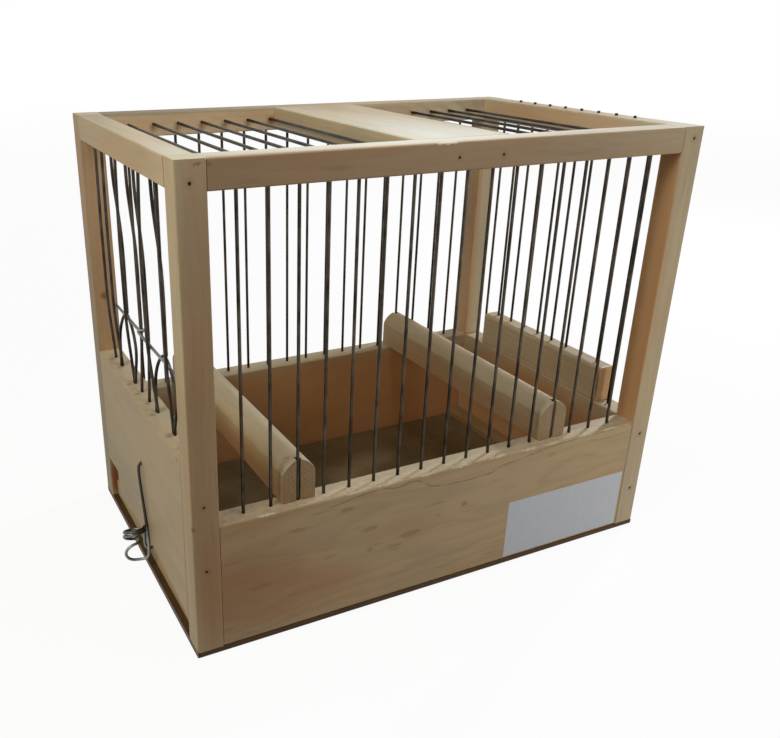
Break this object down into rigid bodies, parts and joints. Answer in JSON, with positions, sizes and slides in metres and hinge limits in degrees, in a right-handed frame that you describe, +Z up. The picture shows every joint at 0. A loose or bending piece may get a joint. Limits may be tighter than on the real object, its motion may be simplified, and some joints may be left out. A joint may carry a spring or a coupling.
{
  "type": "bird cage",
  "caption": "Small songbird cage of pine sticks and panels with steel wire walls, a lift-up wire door, sliding perches, arched head holes and a pull-out floor tray with a wire pull.",
  "frame": {"origin": "middle of the floor board's underside, which is the face that the cage stands on", "axes": "+X to the right along the front, towards the door; +Y to the back; +Z up"},
  "size_m": [0.252, 0.151, 0.2035],
  "materials": {
    "pine": "raw sanded pine",
    "hardboard": "smooth brown hardboard",
    "steel_wire": "dull drawn wire",
    "zinc_wire": "galvanised wire",
    "nail_steel": "dull nail heads"
  },
  "bodies": {
    "frame": {"base_board": "hardboard", "front_left_post": "pine", "front_right_post": "pine", "back_left_post": "pine", "back_right_post": "pine", "front_panel": "pine", "back_panel": "pine", "left_panel": "pine", "right_panel": "pine", "front_top_rail": "pine", "back_top_rail": "pine", "left_top_rail": "pine", "right_top_rail": "pine", "centre_board": "pine", "front_wires": "steel_wire", "back_wires": "steel_wire", "left_wires": "steel_wire", "left_short_wires": "steel_wire", "right_wires": "steel_wire", "top_wires_left": "steel_wire", "top_wires_right": "steel_wire", "head_hole_arches": "steel_wire", "cross_rod": "zinc_wire", "frame_nails": "nail_steel", "base_nails": "nail_steel"},
    "door": {"door_bar": "pine", "door_wires": "steel_wire"},
    "left_perch": {"left_perch": "pine"},
    "right_perch": {"right_perch": "pine"},
    "tray": {"tray_board": "hardboard", "tray_front_lath": "pine", "tray_back_lath": "pine", "tray_pull": "steel_wire"}
  },
  "joints": [
    {"name": "door_slide", "type": "slide", "parent": "frame", "child": "door", "axis": [0, 0, 1], "range_m": [0, 0.11]},
    {"name": "left_perch_slide", "type": "slide", "parent": "frame", "child": "left_perch", "axis": [0, 0, 1], "range_m": [0, 0.11]},
    {"name": "right_perch_slide", "type": "slide", "parent": "frame", "child": "right_perch", "axis": [0, 0, 1], "range_m": [0, 0.11]},
    {"name": "tray_slide", "type": "slide", "parent": "frame", "child": "tray", "axis": [-1, 0, 0], "range_m": [0, 0.19]}
  ]
}
